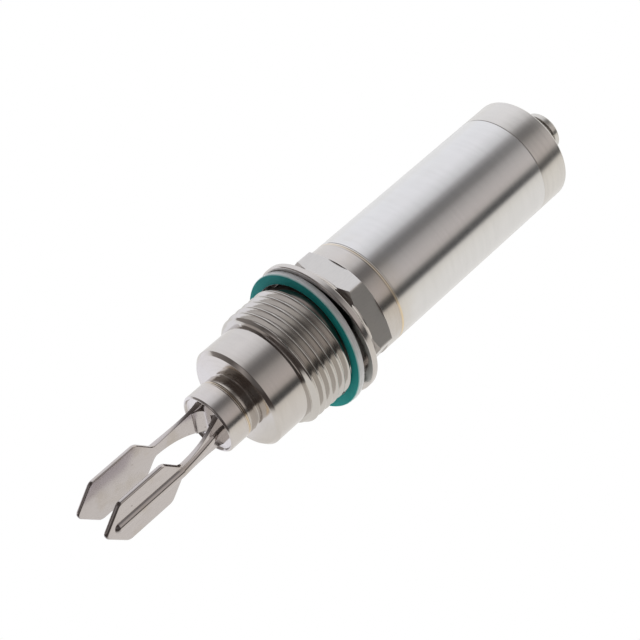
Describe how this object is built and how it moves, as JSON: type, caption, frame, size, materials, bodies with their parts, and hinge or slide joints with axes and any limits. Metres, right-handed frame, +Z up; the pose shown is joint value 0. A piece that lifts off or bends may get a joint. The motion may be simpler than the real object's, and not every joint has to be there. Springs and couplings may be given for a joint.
{
  "type": "tuning fork level switch",
  "caption": "Compact stainless level switch: a vibrating paddle fork on a threaded hexagon adapter with a loose gasket, a plain round housing and a round plug connector.",
  "frame": {"origin": "centre of the flange's sealing face, on the axis", "axes": "+X along the axis from the fork to the plug connector, +Z up, the two tines either side of the XZ plane"},
  "size_m": [0.1729, 0.0397, 0.0402],
  "materials": {
    "head_steel": "milled and blasted stainless steel, fine grain",
    "adapter_steel": "turned stainless steel, bright",
    "housing_steel": "fine turned stainless steel tube, satin",
    "cap_steel": "turned stainless steel, satin",
    "connector_steel": "turned stainless steel",
    "gasket_fibre": "teal bound fibre sheet, pale cut edge",
    "seal_rubber": "black moulded rubber",
    "stack_ceramic": "fired ceramic, dull",
    "piezo_ceramic": "sintered piezo ceramic with a metal film",
    "electrode_brass": "rolled brass sheet",
    "screw_steel": "turned steel",
    "board_laminate": "green coated glass fibre board",
    "chip_plastic": "black moulded package",
    "winding_plastic": "wound bobbin",
    "capacitor_can": "drawn aluminium can",
    "holder_plastic": "pale moulded plastic",
    "lead_insulation": "coloured wire insulation",
    "insert_plastic": "black glass-filled plastic",
    "pin_gold": "gold-plated brass"
  },
  "bodies": {
    "root": {"fork_sensor": "head_steel", "process_adapter": "adapter_steel", "sealing_gasket": "gasket_fibre", "thrust_plate": "screw_steel", "front_insulator": "stack_ceramic", "drive_electrode": "electrode_brass", "drive_piezo": "piezo_ceramic", "middle_electrode": "electrode_brass", "pickup_piezo": "piezo_ceramic", "rear_electrode": "electrode_brass", "rear_insulator": "stack_ceramic", "clamping_screw": "screw_steel", "sensor_leads": "lead_insulation", "housing_tube": "housing_steel", "end_cap": "cap_steel", "cap_o_ring": "seal_rubber", "connector_shell": "connector_steel", "connector_nut": "connector_steel", "connector_o_ring": "seal_rubber", "connector_insert": "insert_plastic", "contact_pins": "pin_gold", "main_board": "board_laminate", "processor_chip": "chip_plastic", "drive_transformer": "winding_plastic", "filter_capacitors": "capacitor_can", "lead_header": "insert_plastic", "front_board_holder": "holder_plastic", "rear_board_holder": "holder_plastic", "connector_leads": "lead_insulation"}
  },
  "joints": []
}
